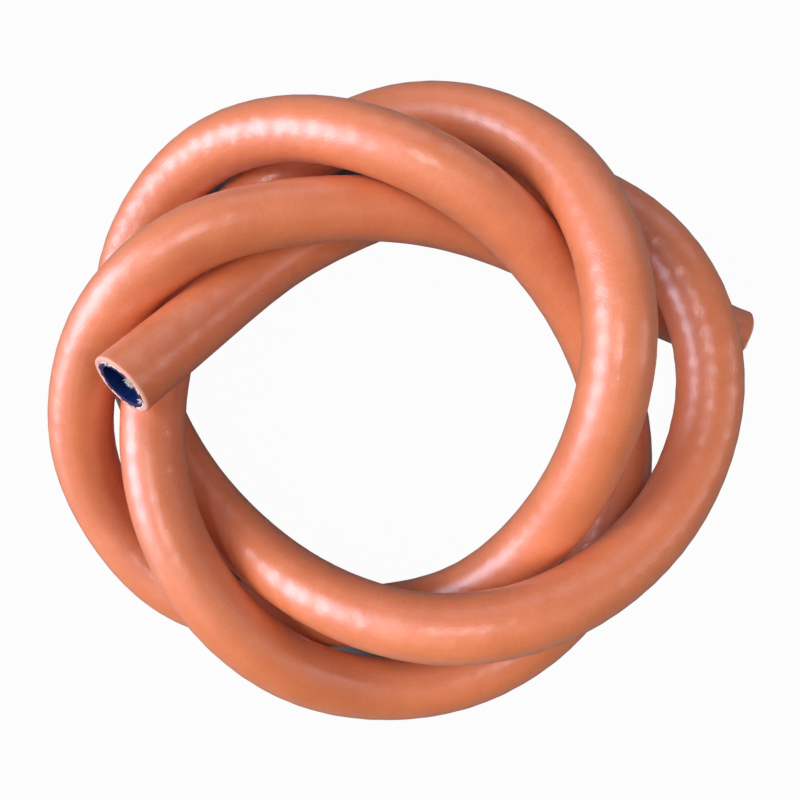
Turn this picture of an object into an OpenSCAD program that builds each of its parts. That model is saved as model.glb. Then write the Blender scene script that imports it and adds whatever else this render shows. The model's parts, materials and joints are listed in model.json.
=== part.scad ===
// Laboratory gas hose: a reinforced rubber hose lying in a loose coil, with both ends cut square.
// Millimetres, +Z up. The hose lies on the plane z = 0, and the origin is in the middle of the coil.

/* [Hose] */
// Bore of the lining, which is pushed over a ribbed nozzle
bore_d = 10; // [5:0.5:16]
// Wall of the lining
lining_t = 1; // [0.5:0.1:2]
// Thickness of the textile braid between lining and cover
braid_t = 0.3; // [0.2:0.05:0.6]
// Wall of the cover
cover_t = 1.2; // [0.8:0.1:2.5]

/* [Coil] */
// How wide the turns are laid: at 1 they lie against each other
spread = 1; // [1:0.05:1.6]
// Length of each end that is straight and truly round, for the nozzle
nozzle_depth = 18; // [8:1:20]

/* [Facets] */
// Sides of the swept hose
sides = 12; // [8:4:24]
// Distance between rings along the hose, in hose diameters
ring_step = 1.2; // [0.8:0.1:1.5]

/* [Hidden] */

// The wall, from the bore outwards.
bore_r = bore_d / 2;
lining_r = bore_r + lining_t;
braid_r = lining_r + braid_t;
cover_r = braid_r + cover_t;

// Sides of the round ends.
round_fn = 64;
// How far a cutter runs past the face that it cuts.
past = 1;
// How far the bent hose starts inside each round end, and runs on straight past it to its next ring.
lap = 2;
// Length of the round part of a surface at each end. The lining's outside turns from round to
// faceted first, so that the thin braid keeps its thickness there.
function round_l(r) = r == lining_r ? nozzle_depth - lap : nozzle_depth;
// How far the corners of the bent hose lie inside the round ends that they meet.
corner_in = 0.05;

// The route, laid out for a hose of this diameter: every pass is one diameter or more from
// its neighbours, and the coil grows and shrinks with the hose.
laid_d = 15;
grow = 2 * cover_r / laid_d;

// Points that steer the hose: x, y, and how high its underside is above the bench.
// The first three lie in line and evenly spaced, and so do the last three, so both ends
// are straight.
route = [
    // The raised end, and down under the later turns
    [-61, 4, 37], [-46, 21, 23], [-31, 38, 9], [-11, 49, 2], [11, 58, 0], [35, 58, 3],
    // First turn: over the far end, over the third turn at the bottom, under the second on the left
    [55, 47, 11], [68, 28, 18], [73, 4, 19], [66, -19, 20], [51, -35, 27], [29, -46, 35],
    [5, -50, 34], [-19, -46, 23], [-40, -36, 8], [-58, -19, 1], [-69, 2, 0], [-76, 27, 0],
    [-69, 49, 0], [-51, 65, 8],
    // Second turn: a hump over two strands at the top, then flat on the bench round the bottom
    [-27, 66, 20], [-5, 58, 31], [16, 47, 31], [36, 30, 20], [49, 9, 12], [56, -15, 5],
    [52, -39, 0], [39, -59, 0], [16, -73, 0], [-9, -74, 4], [-30, -64, 16], [-48, -46, 21],
    [-59, -24, 20], [-62, 0, 17], [-59, 25, 7], [-48, 47, 0],
    // Third turn: low at the top, highest on the right, then down under the rest
    [-29, 64, 0], [-6, 74, 7], [18, 71, 13], [35, 56, 25], [42, 36, 38], [44, 13, 43],
    [40, -10, 38], [32, -30, 22], [15, -48, 13], [-8, -55, 3], [-36, -56, 0], [-60, -51, 0],
    // Last half turn: round the left side, over the strands there, and out to the far end
    [-76, -34, 0], [-83, -12, 8], [-78, 10, 16], [-66, 25, 26], [-48, 39, 29], [-24, 45, 24],
    [1, 47, 17], [25, 42, 9], [46, 33, 2], [66, 25, 1], [86, 17, 0],
];
last = len(route) - 1;

// Samples of the curve between two points, from which distances along the hose are measured.
fine = 8;

// A point of the route, with one more in line beyond each end.
function knot(i) =
    i < 0 ? 2 * route[0] - route[1]
    : i > last ? 2 * route[last] - route[last - 1]
    : route[i];

// Weights of a uniform cubic B-spline at t between two points.
function weights(t) = [
    pow(1 - t, 3),
    3 * pow(t, 3) - 6 * pow(t, 2) + 4,
    -3 * pow(t, 3) + 3 * pow(t, 2) + 3 * t + 1,
    pow(t, 3),
] / 6;

// The curve through the route, by point number.
function curve(u) =
    let (i = min(floor(u), last - 1))
    weights(u - i) * [knot(i - 1), knot(i), knot(i + 1), knot(i + 2)];

// The centre line of the hose, by point number.
function centre(u) =
    let (p = curve(u))
    [p.x * grow * spread, p.y * grow * spread, p.z * grow + cover_r];

samples = [for (i = [0 : last * fine]) centre(i / fine)];
// Distance along the hose of each sample, paired with its point number.
measure = [
    for (i = 0, run = 0; i <= last * fine;
         run = run + (i < last * fine ? norm(samples[i + 1] - samples[i]) : 0), i = i + 1)
        [run, i / fine]
];
hose_l = measure[last * fine][0];

// Centre, direction and ring of the hose at a distance along it.
function at(run) = centre(lookup(run, measure));
function unit(v) = v / norm(v);
nudge = 0.5;
function heading(run) = unit(at(min(run + nudge, hose_l)) - at(max(run - nudge, 0)));
function ring(run, r) =
    let (
        way = heading(run),
        side = unit([way.y, -way.x, 0]),
        up = cross(side, way),
        middle = at(run)
    )
    [for (k = [0 : sides - 1]) let (a = 360 * k / sides) middle + r * (cos(a) * side + sin(a) * up)];

// Distances along the hose at which the bent hose has a ring.
straight_l = nozzle_depth + lap;
laid_l = hose_l - 2 * straight_l;
spans = ceil(laid_l / (ring_step * 2 * cover_r));
stations = [
    nozzle_depth - 2 * lap,
    for (i = [0 : spans]) straight_l + laid_l * i / spans,
    hose_l - nozzle_depth + 2 * lap,
];

// The bent hose as a solid rod, swept ring by ring along the route.
module bend(r) {
    n = len(stations);
    points = [for (run = stations) each ring(run, r - corner_in)];
    function p(i, k) = i * sides + k % sides;
    skin = [for (i = [0 : n - 2], k = [0 : sides - 1])
        each [[p(i, k), p(i, k + 1), p(i + 1, k + 1)], [p(i, k), p(i + 1, k + 1), p(i + 1, k)]]];
    caps = [for (k = [1 : sides - 2])
        each [[p(0, 0), p(0, k + 1), p(0, k)], [p(n - 1, 0), p(n - 1, k), p(n - 1, k + 1)]]];
    polyhedron(points = points, faces = concat(skin, caps));
}

// A straight end as a solid rod: way points out of the hose, and more is how far it runs out.
module end(run, way, r, more) {
    translate(at(run) + more * way)
        rotate([0, 180 - acos(way.z), 180 + atan2(way.y, way.x)])
            cylinder(h = round_l(r) + more, r = r, $fn = round_fn);
}

// The whole hose as a solid rod. One that cuts runs past both faces.
module rod(r, more = 0) {
    end(0, -heading(0), r, more);
    bend(r);
    end(hose_l, heading(hose_l), r, more);
}

// One layer of the wall.
module layer(r_out, r_in) {
    difference() {
        rod(r_out);
        rod(r_in, past);
    }
}

module cover() {
    color("#D97A52") layer(cover_r, braid_r);
}

module braid() {
    color("#E9E2DA") layer(braid_r, lining_r);
}

module lining() {
    color("#1D2B55") layer(lining_r, bore_r);
}

cover();
braid();
lining();
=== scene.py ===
"""Laboratory gas hose lying in a loose coil: studio, rubber cover, textile braid, lining and cut yarn."""

import bisect
import json
import math
import random

import bmesh
import bpy
from mathutils import Matrix, Vector, noise


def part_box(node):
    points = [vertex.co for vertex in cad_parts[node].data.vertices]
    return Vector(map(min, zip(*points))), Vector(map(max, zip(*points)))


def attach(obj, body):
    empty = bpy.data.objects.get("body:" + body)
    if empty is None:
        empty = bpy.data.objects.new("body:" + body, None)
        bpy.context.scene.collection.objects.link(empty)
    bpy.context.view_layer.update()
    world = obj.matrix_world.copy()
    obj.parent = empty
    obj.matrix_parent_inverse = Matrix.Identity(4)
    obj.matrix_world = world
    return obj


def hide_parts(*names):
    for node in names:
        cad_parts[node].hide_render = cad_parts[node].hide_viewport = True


bl_info = {
    "name": "Laboratory gas hose",
    "version": (1, 0, 0),
    "blender": (4, 5, 0),
    "location": "3D View > Sidebar > Gas hose",
    "description": "A reinforced rubber gas hose in a loose coil, with its wall in layers and both ends cut",
    "category": "Add Mesh",
}

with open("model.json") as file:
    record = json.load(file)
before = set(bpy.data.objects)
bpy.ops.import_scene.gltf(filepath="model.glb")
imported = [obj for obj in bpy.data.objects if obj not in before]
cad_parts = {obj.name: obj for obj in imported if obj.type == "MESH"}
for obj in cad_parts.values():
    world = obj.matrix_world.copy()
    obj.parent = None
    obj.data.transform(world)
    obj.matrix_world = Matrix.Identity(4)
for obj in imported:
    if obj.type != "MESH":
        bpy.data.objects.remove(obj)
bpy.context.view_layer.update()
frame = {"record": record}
MM = 0.001

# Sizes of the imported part, in metres.
END_A, END_B = frame["record"]["mounts"]
HOSE_R = END_B["pos_m"][2]
BORE_R = END_A["dims"]["r_mm"] * MM
COVER_T = round(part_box("braid")[0].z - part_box("cover")[0].z, 4)
BRAID_T = round(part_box("lining")[0].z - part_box("braid")[0].z, 4)

# Points that steer the hose, in millimetres: x, y, and how high its underside is above the bench.
ROUTE = [
    # The raised end, and down under the later turns
    (-61, 4, 37), (-46, 21, 23), (-31, 38, 9), (-11, 49, 2), (11, 58, 0), (35, 58, 3),
    # First turn: over the far end, over the third turn at the bottom, under the second on the left
    (55, 47, 11), (68, 28, 18), (73, 4, 19), (66, -19, 20), (51, -35, 27), (29, -46, 35),
    (5, -50, 34), (-19, -46, 23), (-40, -36, 8), (-58, -19, 1), (-69, 2, 0), (-76, 27, 0),
    (-69, 49, 0), (-51, 65, 8),
    # Second turn: a hump over two strands at the top, then flat on the bench round the bottom
    (-27, 66, 20), (-5, 58, 31), (16, 47, 31), (36, 30, 20), (49, 9, 12), (56, -15, 5),
    (52, -39, 0), (39, -59, 0), (16, -73, 0), (-9, -74, 4), (-30, -64, 16), (-48, -46, 21),
    (-59, -24, 20), (-62, 0, 17), (-59, 25, 7), (-48, 47, 0),
    # Third turn: low at the top, highest on the right, then down under the rest
    (-29, 64, 0), (-6, 74, 7), (18, 71, 13), (35, 56, 25), (42, 36, 38), (44, 13, 43),
    (40, -10, 38), (32, -30, 22), (15, -48, 13), (-8, -55, 3), (-36, -56, 0), (-60, -51, 0),
    # Last half turn: round the left side, over the strands there, and out to the far end
    (-76, -34, 0), (-83, -12, 8), (-78, 10, 16), (-66, 25, 26), (-48, 39, 29), (-24, 45, 24),
    (1, 47, 17), (25, 42, 9), (46, 33, 2), (66, 25, 1), (86, 17, 0),
]

# The braid's yarns as they show through the cover: crests counted round the hose, metres along it
# from crest to crest, with the sign of the hand in which they wind, and share of the height.
YARNS = ((6, 0.0081, 0.34), (6, -0.0079, 0.34), (8, 0.0046, 0.26), (8, -0.0046, 0.26))
# Where along the hose the braid shows most, and how much further on that would come again.
TIGHT_AT = 0.25
TIGHT_EVERY = 1.45

# Meshes: distance between rings where a surface is smooth, and the arris left by a sharp knife.
PLAIN_STEP = 6 * MM
SHARP = 0.08 * MM
# How far braid and lining stay clear of the layer outside or inside them.
CLEAR = 0.01 * MM

# Studio: how far the lamps stand from the coil, and the height that they aim at.
LAMP_AWAY = 0.9
AIM_HEIGHT = 0.02
# The shaded patches of the bench: middle of the coil, and where they start and stop, from the middle
# outwards (inner edge, outer edge) and sideways along Y.
COIL_MIDDLE = (-0.006, 0.002, 0)
SHADE_FADES = ((0.054, 0.057), (0.082, 0.078))
SHADE_SIDES = (0.036, 0.041)
# Shares of plain white in how the rest of the bench looks to the camera and in reflections.
WHITE_TO_CAMERA = 0.97
WHITE_IN_REFLECTIONS = 0.05


def linear(hex_colour):
    """Scene linear values of an sRGB hex colour."""
    values = [int(hex_colour[i : i + 2], 16) / 255 for i in (0, 2, 4)]
    return [v / 12.92 if v <= 0.04045 else ((v + 0.055) / 1.055) ** 2.4 for v in values]


# ---------------------------------------------------------------- settings


class HoseSizes(bpy.types.PropertyGroup):
    bore_d: bpy.props.FloatProperty(
        name="Bore", description="Bore of the lining, which goes over a ribbed nozzle",
        default=2 * BORE_R, min=0.004, max=0.03, unit="LENGTH", precision=4)
    lining_t: bpy.props.FloatProperty(
        name="Lining wall", description="Thickness of the dark rubber lining",
        default=HOSE_R - BORE_R - COVER_T - BRAID_T, min=0.0004, max=0.004, unit="LENGTH", precision=4)
    braid_t: bpy.props.FloatProperty(
        name="Braid", description="Thickness of the textile braid between lining and cover",
        default=BRAID_T, min=0.0001, max=0.001, unit="LENGTH", precision=4)
    cover_t: bpy.props.FloatProperty(
        name="Cover wall", description="Thickness of the coloured rubber cover",
        default=COVER_T, min=0.0004, max=0.004, unit="LENGTH", precision=4)
    swell: bpy.props.FloatProperty(
        name="Braid swell", description="How far the braid under it pushes the cover out or lets it sink in",
        default=0.00005, min=0, max=0.0006, unit="LENGTH", precision=5)
    sides: bpy.props.IntProperty(
        name="Sides", description="Sides of each layer, counted round the hose",
        default=56, min=24, max=96)


class HoseColours(bpy.types.PropertyGroup):
    cover: bpy.props.FloatVectorProperty(
        name="Cover", description="Colour of the rubber cover",
        default=linear("E28457"), subtype="COLOR", min=0, max=1)
    # The deeper colour gives the cover's own uneven tone in clouds, grain, ribs and streaks, and also painted
    # shade in the valleys between the braid's crests
    cover_deep_and_valley_shade: bpy.props.FloatVectorProperty(
        name="Cover, deep", description="The cover's colour where its rubber is thicker between the yarns",
        default=linear("C7663A"), subtype="COLOR", min=0, max=1)
    cut: bpy.props.FloatVectorProperty(
        name="Cut rubber", description="Colour of the cover where a knife has cut it",
        default=linear("E0A595"), subtype="COLOR", min=0, max=1)
    yarn: bpy.props.FloatVectorProperty(
        name="Yarn", description="Colour of the braid's yarn",
        default=linear("F8F5F3"), subtype="COLOR", min=0, max=1)
    lining: bpy.props.FloatVectorProperty(
        name="Lining", description="Colour of the rubber lining",
        default=linear("12285E"), subtype="COLOR", min=0, max=1)
    lining_cut: bpy.props.FloatVectorProperty(
        name="Cut lining", description="Colour of the lining where a knife has cut it",
        default=linear("2C1C50"), subtype="COLOR", min=0, max=1)
    bench: bpy.props.FloatVectorProperty(
        name="Bench", description="Colour of the plain bench that the hose lies on",
        default=linear("6E6E6E"), subtype="COLOR", min=0, max=1)


# ---------------------------------------------------------------- the line of the hose


def knot(i):
    """A point of the route, with one more in line beyond each end."""
    last = len(ROUTE) - 1
    if i < 0:
        return 2 * Vector(ROUTE[0]) - Vector(ROUTE[1])
    if i > last:
        return 2 * Vector(ROUTE[last]) - Vector(ROUTE[last - 1])
    return Vector(ROUTE[i])


def on_curve(u):
    """The centre line's point and direction at point number u."""
    i = min(int(u), len(ROUTE) - 2)
    t = u - i
    near = [knot(i + k) for k in (-1, 0, 1, 2)]
    place = ((1 - t) ** 3, 3 * t**3 - 6 * t**2 + 4, -3 * t**3 + 3 * t**2 + 3 * t + 1, t**3)
    way = (-((1 - t) ** 2), 3 * t**2 - 4 * t, -3 * t**2 + 2 * t + 1, t**2)
    point, heading = Vector(), Vector()
    for knot_point, a, b in zip(near, place, way):
        point += knot_point * a / 6
        heading += knot_point * b
    return (point + Vector((0, 0, HOSE_R / MM))) * MM, heading.normalized()


class CentreLine:
    """The hose's centre line, measured along its length."""

    FINE = 24

    def __init__(self):
        count = (len(ROUTE) - 1) * self.FINE
        self.runs, before = [0.0], on_curve(0)[0]
        for i in range(1, count + 1):
            here = on_curve(i / self.FINE)[0]
            self.runs.append(self.runs[-1] + (here - before).length)
            before = here
        self.length = self.runs[-1]

    def at(self, run):
        """Middle, side, up and heading at a distance along the hose, which runs on straight past its ends."""
        inside = min(max(run, 0.0), self.length)
        i = min(max(bisect.bisect_right(self.runs, inside) - 1, 0), len(self.runs) - 2)
        part = (inside - self.runs[i]) / (self.runs[i + 1] - self.runs[i])
        middle, heading = on_curve((i + part) / self.FINE)
        side = Vector((heading.y, -heading.x, 0)).normalized()
        return middle + heading * (run - inside), side, side.cross(heading), heading


LINE = CentreLine()


def lay(bm, swell=0.0):
    """Bends a layer modelled straight along Z on to the centre line. Its straight place and the strength of
    the braid's print stay with it for the materials."""
    straight = bm.verts.layers.float_vector.new("straight")
    relief = bm.verts.layers.float.new("relief")
    frames = {}
    for vert in bm.verts:
        vert[straight] = vert.co
        run = vert.co.z
        key = round(run, 7)
        if key not in frames:
            frames[key] = LINE.at(run)
        middle, side, up, _ = frames[key]
        across = Vector((vert.co.x, vert.co.y))
        if swell and across.length > HOSE_R - 0.4 * MM:
            angle = math.atan2(across.y, across.x)
            vert[relief] = braid_strength(angle, run)
            across *= 1 + swell * vert[relief] * braid_print(angle, run) / across.length
        vert.co = middle + side * across.x + up * across.y


def braid_print(angle, run):
    """Height of the cover over the braid under it, from about -1 to 1, where the braid shows in full."""
    return sum(share * math.cos(turns * angle + 2 * math.pi * run / pitch) for turns, pitch, share in YARNS)


def braid_strength(angle, run):
    """How much of the braid shows through the cover: it was laid tighter in some lengths than in others."""
    here = Vector((math.cos(angle), math.sin(angle), run / 0.03))
    tightness = 0.25 * math.cos(2 * math.pi * (run - TIGHT_AT) / TIGHT_EVERY)
    strength = 0.85 + tightness + 0.6 * noise.noise(here * 0.9)
    return max(strength, 0.15)


# ---------------------------------------------------------------- meshes


def wall(r_in, r_out, arrises, skin_step, hole_step, sides):
    """One straight layer along Z: a section of its wall with rounded arrises, spun round the axis. The sizes
    of its inner and its outer arris are given in arrises."""
    start, stop = 0.0, LINE.length
    bm = bmesh.new()
    section = ((r_in, start), (r_out, start), (r_out, stop), (r_in, stop))
    corners = [bm.verts.new((r, 0, z)) for r, z in section]
    for i in range(4):
        bm.edges.new((corners[i], corners[(i + 1) % 4]))
    for pair, arris in ((0, arrises[0]), (1, arrises[1])):
        bmesh.ops.bevel(
            bm, geom=[corners[pair], corners[3 - pair]], offset=arris, offset_type="OFFSET", segments=3,
            profile=0.5, affect="VERTICES", material=-1)
    for radius, step in ((r_out, skin_step), (r_in, hole_step)):
        runs = [e for e in bm.edges if e.calc_length() > 0.5 * (stop - start)
                and abs(e.verts[0].co.x - radius) < 0.02 * MM]
        bmesh.ops.subdivide_edges(bm, edges=runs, cuts=round((stop - start) / step))
    bmesh.ops.spin(
        bm, geom=bm.verts[:] + bm.edges[:], cent=(0, 0, 0), axis=(0, 0, 1), dvec=(0, 0, 0),
        angle=2 * math.pi, steps=sides, use_merge=True, use_normal_flip=False, use_duplicate=False)
    bmesh.ops.remove_doubles(bm, verts=bm.verts[:], dist=0.001 * MM)
    bmesh.ops.recalc_face_normals(bm, faces=bm.faces[:])
    return bm


def tear(bm, depth, amount, grain, flare=0.0):
    """Makes both cut ends of a straight layer uneven round the ring, and flares the outer edge in places."""
    outside = max(vert.co.xy.length for vert in bm.verts)
    for vert in bm.verts:
        near_b = vert.co.z > LINE.length - depth
        if vert.co.z >= depth and not near_b:
            continue
        angle = math.atan2(vert.co.y, vert.co.x)
        place = Vector((math.cos(angle), math.sin(angle), 0)) * grain + Vector((0, 0, 7 * near_b))
        vert.co.z += (1 if near_b else -1) * amount * noise.noise(place)
        radius = vert.co.xy.length
        if flare and radius > outside - 0.2 * MM:
            spread = flare * min(max(0.5 + 1.6 * noise.noise(place * 1.7), 0), 1)
            vert.co.xy *= 1 + spread / radius
            vert.co.z += (1 if near_b else -1) * 0.25 * spread


def filament(bm, root, way, curl, length, radius):
    """One thin fibre of yarn, which tapers and curls as it goes."""
    place = Matrix.Translation(root) @ way.to_track_quat("Z", "Y").to_matrix().to_4x4()
    ring = bmesh.ops.create_circle(bm, cap_ends=True, segments=5, radius=radius, matrix=place)["verts"]
    tip = ring[0].link_faces[0]
    for _ in range(4):
        grown = bmesh.ops.extrude_face_region(bm, geom=[tip])["geom"]
        tip = next(part for part in grown if isinstance(part, bmesh.types.BMFace))
        bmesh.ops.translate(bm, vec=way * length / 4, verts=tip.verts[:])
        middle = tip.calc_center_median()
        bmesh.ops.scale(bm, vec=(0.72, 0.72, 0.72), space=Matrix.Translation(-middle), verts=tip.verts[:])
        way = (way + curl).normalized()


def mark_cuts(bm, depth):
    """Gives the faces at both cut ends the second material."""
    for face in bm.faces:
        run = face.calc_center_median().z
        face.material_index = int(run < depth or run > LINE.length - depth)


def finish_piece(bm, name, materials):
    """Turns a bmesh into a piece that rides on the part's one body."""
    mesh = bpy.data.meshes.new(name)
    for material in materials:
        mesh.materials.append(material)
    bm.to_mesh(mesh)
    bm.free()
    mesh.shade_smooth()
    piece = bpy.data.objects.new(name, mesh)
    bpy.context.scene.collection.objects.link(piece)
    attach(piece, "root")
    return piece


# ---------------------------------------------------------------- materials


def new_material(name):
    """An empty node material; returns it with its node tree."""
    material = bpy.data.materials.new(name)
    material.use_nodes = True
    material.node_tree.nodes.clear()
    return material, material.node_tree


def add(tree, kind, inputs=None, **settings):
    """Adds a node. inputs maps an input's name or number to a value or to another node's output."""
    node = tree.nodes.new(kind)
    for key, value in settings.items():
        setattr(node, key, value)
    for key, value in (inputs or {}).items():
        if isinstance(value, bpy.types.NodeSocket):
            tree.links.new(value, node.inputs[key])
        else:
            node.inputs[key].default_value = value
    return node


def rgba(colour, dim=1.0):
    return [channel * dim for channel in colour] + [1.0]


def extruded_rubber(colours):
    """Soft natural rubber, extruded and cured in talc: a satin skin that shines broadly where it faces a
    light, faint streaks along the hose, cloudy colour, fine grain, a dusty bloom, and a few specks."""
    material, tree = new_material("extruded_rubber")
    straight = add(tree, "ShaderNodeAttribute", attribute_name="straight").outputs["Vector"]
    relief = add(tree, "ShaderNodeAttribute", attribute_name="relief").outputs["Fac"]
    # Clouds about 9 mm across
    clouds = add(tree, "ShaderNodeTexNoise", {
        "Vector": straight, "Scale": 110, "Detail": 3, "Roughness": 0.55})
    # Extrusion streaks about 1 mm wide and nearly 40 mm long
    drawn = add(tree, "ShaderNodeMapping", {"Vector": straight, "Scale": (1, 1, 0.03)})
    streaks = add(tree, "ShaderNodeTexNoise", {"Vector": drawn.outputs[0], "Scale": 900, "Detail": 2})
    # Grain about 0.5 mm across, drawn coarser than the real 0.1 mm so that it shows
    grain = add(tree, "ShaderNodeTexNoise", {
        "Vector": straight, "Scale": 1900, "Detail": 3, "Roughness": 0.75})
    # Ribs about 1 mm apart round the hose, where the cloth it was wrapped in for curing left its print
    print_place = add(tree, "ShaderNodeMapping", {"Vector": straight, "Scale": (0.25, 0.25, 1)})
    ribs = add(tree, "ShaderNodeTexNoise", {"Vector": print_place.outputs[0], "Scale": 1050, "Detail": 1})
    # The braid under the cover, in the same waves as the mesh
    axes = add(tree, "ShaderNodeSeparateXYZ", {"Vector": straight}).outputs
    angle = add(tree, "ShaderNodeMath", {0: axes["Y"], 1: axes["X"]}, operation="ARCTAN2").outputs[0]
    weave = 0.0
    for turns, pitch, share in YARNS:
        along = add(tree, "ShaderNodeMath", {0: axes["Z"], 1: 2 * math.pi / pitch}, operation="MULTIPLY")
        phase = add(tree, "ShaderNodeMath", {0: angle, 1: turns, 2: along.outputs[0]},
                    operation="MULTIPLY_ADD")
        wave = add(tree, "ShaderNodeMath", {0: phase.outputs[0]}, operation="COSINE")
        weave = add(tree, "ShaderNodeMath", {0: wave.outputs[0], 1: share, 2: weave},
                    operation="MULTIPLY_ADD").outputs[0]
    weave = add(tree, "ShaderNodeMath", {0: weave, 1: relief}, operation="MULTIPLY").outputs[0]
    # How much of the paler colour each pattern brings. The braid's waves add painted shade: darker in the
    # valleys between the crests, paler on them.
    tint = add(tree, "ShaderNodeMath", {0: clouds.outputs["Fac"], 1: 0.8, 2: -0.25},
               operation="MULTIPLY_ADD")
    for pattern, share in ((weave, 0.08), (ribs.outputs["Fac"], 0.2), (grain.outputs["Fac"], 0.75),
                           (streaks.outputs["Fac"], 0.25)):
        tint = add(tree, "ShaderNodeMath", {0: pattern, 1: share, 2: tint.outputs[0]},
                   operation="MULTIPLY_ADD")
    tint.use_clamp = True
    base = add(tree, "ShaderNodeMix", {
        # Painted shade: the braid's valleys lean towards the deeper colour, its crests towards the paler one
        0: tint.outputs[0], 6: rgba(colours.cover_deep_and_valley_shade), 7: rgba(colours.cover)}, data_type="RGBA")
    # Dark specks of soot about 0.5 mm across and pale flecks of talc about 0.4 mm across: cells a metre,
    # with one speck in each, where it starts to fade and ends in cells, how strong it is, and its colour
    for cells, fade, gone, strength, colour in (
            (48, 0.008, 0.016, 0.6, "5A3524"), (95, 0.012, 0.026, 0.45, "EFC9B8")):
        spots = add(tree, "ShaderNodeTexVoronoi", {"Vector": straight, "Scale": cells})
        speck = add(tree, "ShaderNodeMapRange", {
            "Value": spots.outputs["Distance"], "From Min": fade, "From Max": gone,
            "To Min": strength, "To Max": 0})
        base = add(tree, "ShaderNodeMix", {
            0: speck.outputs[0], 6: base.outputs[2], 7: rgba(linear(colour))}, data_type="RGBA")
    rough = add(tree, "ShaderNodeMath", {0: clouds.outputs["Fac"], 1: 0.2, 2: 0.4}, operation="MULTIPLY_ADD")
    height = add(tree, "ShaderNodeMath", {0: streaks.outputs["Fac"], 1: 0.2, 2: grain.outputs["Fac"]},
                 operation="MULTIPLY_ADD")
    height = add(tree, "ShaderNodeMath", {0: ribs.outputs["Fac"], 1: 0.15, 2: height.outputs[0]},
                 operation="MULTIPLY_ADD")
    bump = add(tree, "ShaderNodeBump", {"Height": height.outputs[0], "Strength": 1.0, "Distance": 0.00007})
    skin = add(tree, "ShaderNodeBump", {
        "Height": weave, "Strength": 1.0, "Distance": 0.00009, "Normal": bump.outputs[0]})
    bump = add(tree, "ShaderNodeBump", {
        "Height": weave, "Strength": 1.0, "Distance": 0.00004, "Normal": bump.outputs[0]})
    # The skin cured against talc is smoother than the rubber under it, most of all where the braid
    # pushes it out, so the narrower highlight breaks into beads over the print
    polish = add(tree, "ShaderNodeMath", {0: weave, 1: 0.45, 2: 0.85}, operation="MULTIPLY_ADD",
                 use_clamp=True)
    shader = add(tree, "ShaderNodeBsdfPrincipled", {
        "Base Color": base.outputs[2], "Roughness": rough.outputs[0], "IOR": 1.52,
        "Specular IOR Level": 0.95, "Specular Tint": rgba(linear("E6DAFF")),
        "Coat Weight": polish.outputs[0], "Coat Roughness": 0.24, "Coat IOR": 1.8,
        "Sheen Weight": 0.05, "Sheen Roughness": 0.3, "Sheen Tint": rgba(linear("D9BBDD")),
        "Normal": bump.outputs[0], "Coat Normal": skin.outputs[0]})
    add(tree, "ShaderNodeOutputMaterial", {"Surface": shader.outputs[0]})
    return material


def cut_rubber(colours):
    """Freshly cut natural rubber: paler and duller than the skin, with fine drag lines from the knife."""
    material, tree = new_material("cut_rubber")
    place = add(tree, "ShaderNodeTexCoord").outputs["Object"]
    drags = add(tree, "ShaderNodeTexNoise", {"Vector": place, "Scale": 2200, "Detail": 3, "Roughness": 0.6})
    patches = add(tree, "ShaderNodeTexNoise", {"Vector": place, "Scale": 420, "Detail": 2})
    blend = add(tree, "ShaderNodeMath", {0: patches.outputs["Fac"], 1: 1.6, 2: -0.4},
                operation="MULTIPLY_ADD", use_clamp=True)
    base = add(tree, "ShaderNodeMix", {
        0: blend.outputs[0], 6: rgba(colours.cut), 7: rgba(colours.cut, 0.85)}, data_type="RGBA")
    bump = add(tree, "ShaderNodeBump", {
        "Height": drags.outputs["Fac"], "Strength": 0.6, "Distance": 0.00008})
    shader = add(tree, "ShaderNodeBsdfPrincipled", {
        "Base Color": base.outputs[2], "Roughness": 0.62, "IOR": 1.52, "Normal": bump.outputs[0]})
    add(tree, "ShaderNodeOutputMaterial", {"Surface": shader.outputs[0]})
    return material


def cotton_yarn(colours):
    """Off-white cotton yarn, twisted and braided: matt, with a soft sheen and faint painted shade in the
    grooves of its twist.
    """
    material, tree = new_material("braided_yarn")
    straight = add(tree, "ShaderNodeAttribute", attribute_name="straight").outputs["Vector"]
    twist = add(tree, "ShaderNodeTexWave", {"Vector": straight, "Scale": 900, "Distortion": 3, "Detail": 2},
                bands_direction="DIAGONAL")
    fuzz = add(tree, "ShaderNodeTexNoise", {"Vector": straight, "Scale": 4000, "Detail": 2})
    # Painted shade: the grooves of the twist are darkened to 0.88 of the yarn's colour
    shade = add(tree, "ShaderNodeMath", {0: twist.outputs["Fac"], 1: 0.7, 2: 0.2}, operation="MULTIPLY_ADD",
                use_clamp=True)
    base = add(tree, "ShaderNodeMix", {
        0: shade.outputs[0], 6: rgba(colours.yarn, 0.88), 7: rgba(colours.yarn)}, data_type="RGBA")
    height = add(tree, "ShaderNodeMath", {0: twist.outputs["Fac"], 1: 1.0, 2: fuzz.outputs["Fac"]},
                 operation="MULTIPLY_ADD")
    bump = add(tree, "ShaderNodeBump", {"Height": height.outputs[0], "Strength": 0.7, "Distance": 0.0001})
    shader = add(tree, "ShaderNodeBsdfPrincipled", {
        "Base Color": base.outputs[2], "Roughness": 0.85, "Sheen Weight": 0.3, "Sheen Roughness": 0.4,
        "Normal": bump.outputs[0]})
    add(tree, "ShaderNodeOutputMaterial", {"Surface": shader.outputs[0]})
    return material


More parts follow.
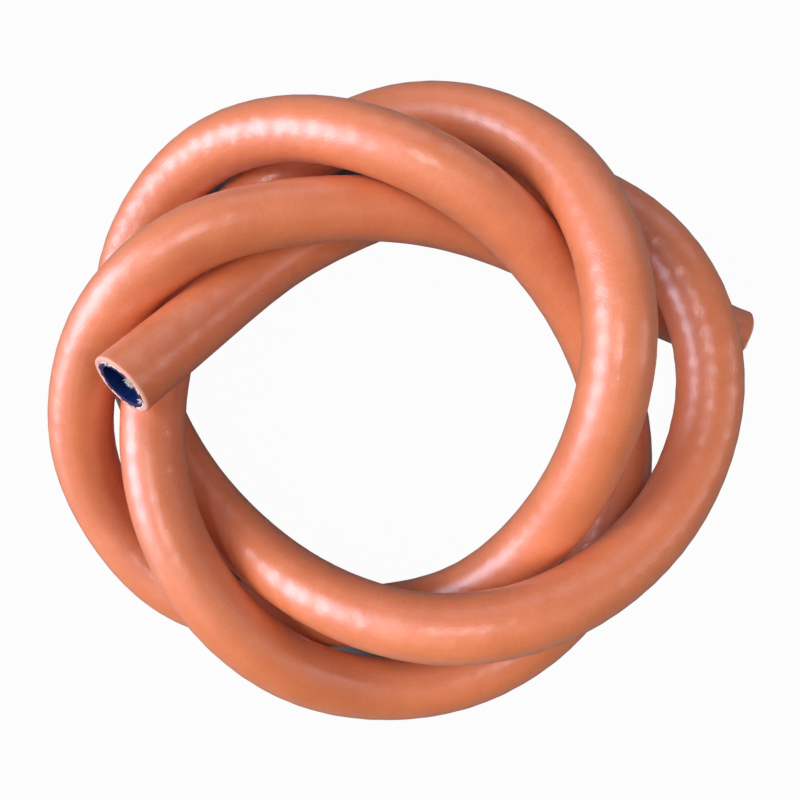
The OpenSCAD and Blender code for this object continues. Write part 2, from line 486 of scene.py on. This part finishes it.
def lining_rubber(colours, cut):
    """Dense blue-black nitrile rubber: glossy where a mandrel moulded it, dull and purplish where cut."""
    material, tree = new_material("cut_nitrile_rubber" if cut else "nitrile_rubber")
    straight = add(tree, "ShaderNodeAttribute", attribute_name="straight").outputs["Vector"]
    drawn = add(tree, "ShaderNodeMapping", {"Vector": straight, "Scale": (1, 1, 0.08)})
    streaks = add(tree, "ShaderNodeTexNoise", {"Vector": drawn.outputs[0], "Scale": 800, "Detail": 3})
    colour = colours.lining_cut if cut else colours.lining
    base = add(tree, "ShaderNodeMix", {
        0: streaks.outputs["Fac"], 6: rgba(colour, 0.3), 7: rgba(colour, 1.5)}, data_type="RGBA")
    bump = add(tree, "ShaderNodeBump", {
        "Height": streaks.outputs["Fac"], "Strength": 0.6, "Distance": 0.0001 if cut else 0.00005})
    shader = add(tree, "ShaderNodeBsdfPrincipled", {
        "Base Color": base.outputs[2], "Roughness": 0.55 if cut else 0.27, "IOR": 1.52,
        "Normal": bump.outputs[0]})
    add(tree, "ShaderNodeOutputMaterial", {"Surface": shader.outputs[0]})
    return material


def bench_material(colours):
    """Plain matt board. The camera sees it evenly lit and white, with a trace of the hose's shadow. In two
    patches under the turns, on the +Y and -Y sides of the coil, it is seen in their full shade. Reflections
    show little of the white."""
    material, tree = new_material("white_board")
    paper = add(tree, "ShaderNodeBsdfDiffuse", {"Color": rgba(colours.bench)})
    lit = add(tree, "ShaderNodeEmission", {"Color": (1, 1, 1, 1), "Strength": 1.0})
    path = add(tree, "ShaderNodeLightPath")
    mirrored = add(tree, "ShaderNodeMath", {0: path.outputs["Is Glossy Ray"], 1: WHITE_IN_REFLECTIONS},
                   operation="MULTIPLY")
    seen = add(tree, "ShaderNodeMath", {0: path.outputs["Is Camera Ray"], 1: mirrored.outputs[0]},
               operation="MAXIMUM")
    seen = add(tree, "ShaderNodeMath", {0: seen.outputs[0], 1: path.outputs["Is Transmission Ray"]},
               operation="MAXIMUM")
    place = add(tree, "ShaderNodeTexCoord").outputs["Object"]
    away = add(tree, "ShaderNodeVectorMath", {0: place, 1: COIL_MIDDLE}, operation="DISTANCE")
    away = away.outputs["Value"]
    across = add(tree, "ShaderNodeSeparateXYZ", {"Vector": place}).outputs["Y"]
    across = add(tree, "ShaderNodeMath", {0: across}, operation="ABSOLUTE").outputs[0]
    under = None
    for value, (start, stop) in ((away, SHADE_FADES[0]), (away, SHADE_FADES[1]), (across, SHADE_SIDES)):
        step = add(tree, "ShaderNodeMapRange", {"Value": value, "From Min": start, "From Max": stop})
        step = step.outputs[0]
        under = step if under is None else add(
            tree, "ShaderNodeMath", {0: under, 1: step}, operation="MULTIPLY").outputs[0]
    open_air = add(tree, "ShaderNodeMapRange", {"Value": under, "To Min": WHITE_TO_CAMERA, "To Max": 0.0})
    share = add(tree, "ShaderNodeMath", {0: seen.outputs[0], 1: open_air.outputs[0]}, operation="MULTIPLY")
    mix = add(tree, "ShaderNodeMixShader", {0: share.outputs[0], 1: paper.outputs[0], 2: lit.outputs[0]})
    add(tree, "ShaderNodeOutputMaterial", {"Surface": mix.outputs[0]})
    return material


# ---------------------------------------------------------------- operators


def softbox(name, azimuth, elevation, size, power, colour):
    """An area lamp that faces the coil from a direction, in degrees."""
    lamp = bpy.data.lights.new(name, "AREA")
    lamp.shape, lamp.size, lamp.size_y = "RECTANGLE", *size
    lamp.energy, lamp.color = power, colour
    a, e = math.radians(azimuth), math.radians(elevation)
    way = Vector((math.cos(e) * math.cos(a), math.cos(e) * math.sin(a), math.sin(e)))
    holder = bpy.data.objects.new(name, lamp)
    holder.matrix_world = (
        Matrix.Translation(Vector((0, 0, AIM_HEIGHT)) + way * LAMP_AWAY)
        @ way.to_track_quat("Z", "Y").to_matrix().to_4x4())
    bpy.context.scene.collection.objects.link(holder)
    return holder


class HOSE_OT_stage(bpy.types.Operator):
    """Camera over the coil, bench that it sees as white, and soft studio light"""

    bl_idname = "hose.stage"
    bl_label = "Studio"

    def execute(self, context):
        scene = context.scene
        # Straight above the coil, and near enough for the higher strands to look wider
        camera = bpy.data.cameras.new("camera")
        camera.lens, camera.sensor_width, camera.clip_start = 33.12, 36, 0.01
        holder = bpy.data.objects.new("camera", camera)
        holder.location = (-0.002, 0.001, 0.2)
        scene.collection.objects.link(holder)
        scene.camera = holder

        bm = bmesh.new()
        bmesh.ops.create_grid(bm, x_segments=4, y_segments=4, size=2.0)
        mesh = bpy.data.meshes.new("bench")
        bm.to_mesh(mesh)
        bm.free()
        mesh.materials.append(bench_material(scene.hose_colours))
        bench = bpy.data.objects.new("bench", mesh)
        scene.collection.objects.link(bench)

        softbox("left softbox", 178, 26, (0.6, 0.5), 5.6, (0.79, 0.86, 1.0))
        softbox("left screen", 182, 8, (1.1, 0.35), 1.6, (0.86, 0.82, 1.0))
        softbox("far screen", 78, 28, (1.2, 0.4), 1.1, (0.86, 0.85, 1.0))
        softbox("ceiling spot", 165, 78, (0.13, 0.13), 1.1, (0.96, 0.93, 1.0))
        softbox("right strip", 3, 25, (0.14, 0.12), 0.4, (1.0, 0.92, 1.0))
        # Fill light, which is hidden from reflections so that it adds no highlight of its own
        for azimuth, elevation, power in ((162, 44, 3.3), (225, 48, 3.8), (350, 46, 2.5)):
            fill = softbox("fill", azimuth, elevation, (0.5, 0.5), power, (1.0, 0.97, 0.92))
            fill.visible_glossy = False

        world = bpy.data.worlds.new("studio")
        world.use_nodes = True
        world.node_tree.nodes.clear()
        room = add(world.node_tree, "ShaderNodeBackground", {"Color": (1.0, 0.96, 0.9, 1), "Strength": 0.03})
        white = add(world.node_tree, "ShaderNodeBackground", {"Color": (1, 1, 1, 1), "Strength": 1.0})
        path = add(world.node_tree, "ShaderNodeLightPath")
        mix = add(world.node_tree, "ShaderNodeMixShader", {
            0: path.outputs["Is Camera Ray"], 1: room.outputs[0], 2: white.outputs[0]})
        add(world.node_tree, "ShaderNodeOutputWorld", {"Surface": mix.outputs[0]})
        scene.world = world
        scene.view_settings.view_transform = "Standard"
        return {"FINISHED"}


def radii(sizes):
    """Radii of the wall from the bore outwards: bore, lining, braid and cover."""
    bore = sizes.bore_d / 2
    lining = bore + sizes.lining_t
    braid = bore + sizes.lining_t + sizes.braid_t
    cover = bore + sizes.lining_t + sizes.braid_t + sizes.cover_t
    return bore, lining, braid, cover


class HOSE_OT_cover(bpy.types.Operator):
    """The rubber cover, swollen a little by the braid under it"""

    bl_idname = "hose.cover"
    bl_label = "Cover"

    def execute(self, context):
        sizes, colours = context.scene.hose_sizes, context.scene.hose_colours
        _, _, braid, cover = radii(sizes)
        bm = wall(braid, cover, (SHARP, 0.5 * MM), 1.12 * MM, PLAIN_STEP, sizes.sides)
        mark_cuts(bm, 0.48 * MM)
        lay(bm, sizes.swell)
        finish_piece(bm, "cover_skin", [extruded_rubber(colours), cut_rubber(colours)])
        return {"FINISHED"}


class HOSE_OT_braid(bpy.types.Operator):
    """The textile braid between cover and lining, with ragged cut ends"""

    bl_idname = "hose.braid"
    bl_label = "Braid"

    def execute(self, context):
        sizes, colours = context.scene.hose_sizes, context.scene.hose_colours
        _, lining, braid, _ = radii(sizes)
        bm = wall(lining + CLEAR, braid - CLEAR, (SHARP, SHARP), PLAIN_STEP, PLAIN_STEP, sizes.sides)
        tear(bm, 0.4 * MM, 0.2 * MM, 7)
        lay(bm)
        finish_piece(bm, "braid_yarn", [cotton_yarn(colours)])
        return {"FINISHED"}


class HOSE_OT_lining(bpy.types.Operator):
    """The dark rubber lining"""

    bl_idname = "hose.lining"
    bl_label = "Lining"

    def execute(self, context):
        sizes, colours = context.scene.hose_sizes, context.scene.hose_colours
        bore, lining, _, _ = radii(sizes)
        bm = wall(bore, lining - CLEAR, (0.12 * MM, SHARP), PLAIN_STEP, PLAIN_STEP, sizes.sides)
        mark_cuts(bm, 0.08 * MM)
        tear(bm, 0.3 * MM, 0.16 * MM, 8, 0.42 * MM)
        lay(bm)
        finish_piece(bm, "lining_tube", [lining_rubber(colours, False), lining_rubber(colours, True)])
        return {"FINISHED"}


class HOSE_OT_fray(bpy.types.Operator):
    """Loose fibres of the braid's yarn at both cut ends"""

    bl_idname = "hose.fray"
    bl_label = "Frayed yarn"

    def execute(self, context):
        sizes, colours = context.scene.hose_sizes, context.scene.hose_colours
        _, lining, braid, _ = radii(sizes)
        material = cotton_yarn(colours)
        # Each tuft: the angle round the ring and how far it spreads either way, in degrees, its
        # fibres, their length in millimetres, and how far they lean in
        tufts = ((66, 9, 40, 1.3, 0.3), (18, 6, 24, 1.1, 0.3), (128, 6, 12, 0.7, 0.3),
                 (231, 5, 12, 0.8, -1.2), (186, 160, 60, 0.35, 0.4))
        for end, name in ((0, "fray_a"), (1, "fray_b")):
            rng = random.Random(5 + end)
            middle, side, up, heading = LINE.at(end * LINE.length)
            out = heading if end else -heading
            bm = bmesh.new()
            for angle, width, count, length, lean in tufts:
                for _ in range(count):
                    a = math.radians(angle + rng.uniform(-width, width))
                    across = side * math.cos(a) + up * math.sin(a)
                    root = middle + across * rng.uniform(lining, braid) - out * 0.1 * MM
                    stray = Vector([rng.uniform(-0.5, 0.5) for _ in range(3)])
                    way = (out * 0.8 - across * lean + stray).normalized()
                    curl = Vector([rng.uniform(-0.3, 0.3) for _ in range(3)]) - 0.2 * across
                    reach = length * rng.uniform(0.5, 1) * MM
                    filament(bm, root, way, curl, reach, rng.uniform(0.06, 0.13) * MM)
            straight = bm.verts.layers.float_vector.new("straight")
            for vert in bm.verts:
                vert[straight] = vert.co
            bmesh.ops.recalc_face_normals(bm, faces=bm.faces[:])
            finish_piece(bm, name, [material])
        return {"FINISHED"}


class HOSE_OT_declare(bpy.types.Operator):
    bl_idname = "hose.declare"
    bl_label = "Join layers"

    def execute(self, context):
        steps = round(LINE.length / (4 * MM))
        path = [LINE.at(LINE.length * i / steps)[0] for i in range(steps + 1)]
        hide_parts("cover")
        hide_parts("braid")
        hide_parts("lining")
        return {"FINISHED"}


class HOSE_PT_panel(bpy.types.Panel):
    bl_idname = "HOSE_PT_panel"
    bl_label = "Gas hose"
    bl_space_type = "VIEW_3D"
    bl_region_type = "UI"
    bl_category = "Gas hose"

    def draw(self, context):
        for group in (context.scene.hose_sizes, context.scene.hose_colours):
            box = self.layout.box()
            for key in group.bl_rna.properties.keys():
                if key not in ("rna_type", "name"):
                    box.prop(group, key)
        for step in STEPS:
            self.layout.operator(step.bl_idname)


STEPS = (HOSE_OT_stage, HOSE_OT_cover, HOSE_OT_braid, HOSE_OT_lining, HOSE_OT_fray, HOSE_OT_declare)
CLASSES = (HoseSizes, HoseColours, *STEPS, HOSE_PT_panel)


def register():
    for cls in CLASSES:
        bpy.utils.register_class(cls)
    bpy.types.Scene.hose_sizes = bpy.props.PointerProperty(type=HoseSizes)
    bpy.types.Scene.hose_colours = bpy.props.PointerProperty(type=HoseColours)


def unregister():
    del bpy.types.Scene.hose_colours
    del bpy.types.Scene.hose_sizes
    for cls in reversed(CLASSES):
        bpy.utils.unregister_class(cls)


def main():
    register()
    bpy.ops.hose.stage()
    bpy.ops.hose.cover()
    bpy.ops.hose.braid()
    bpy.ops.hose.lining()
    bpy.ops.hose.fray()
    bpy.ops.hose.declare()


if __name__ == "__main__":
    main()
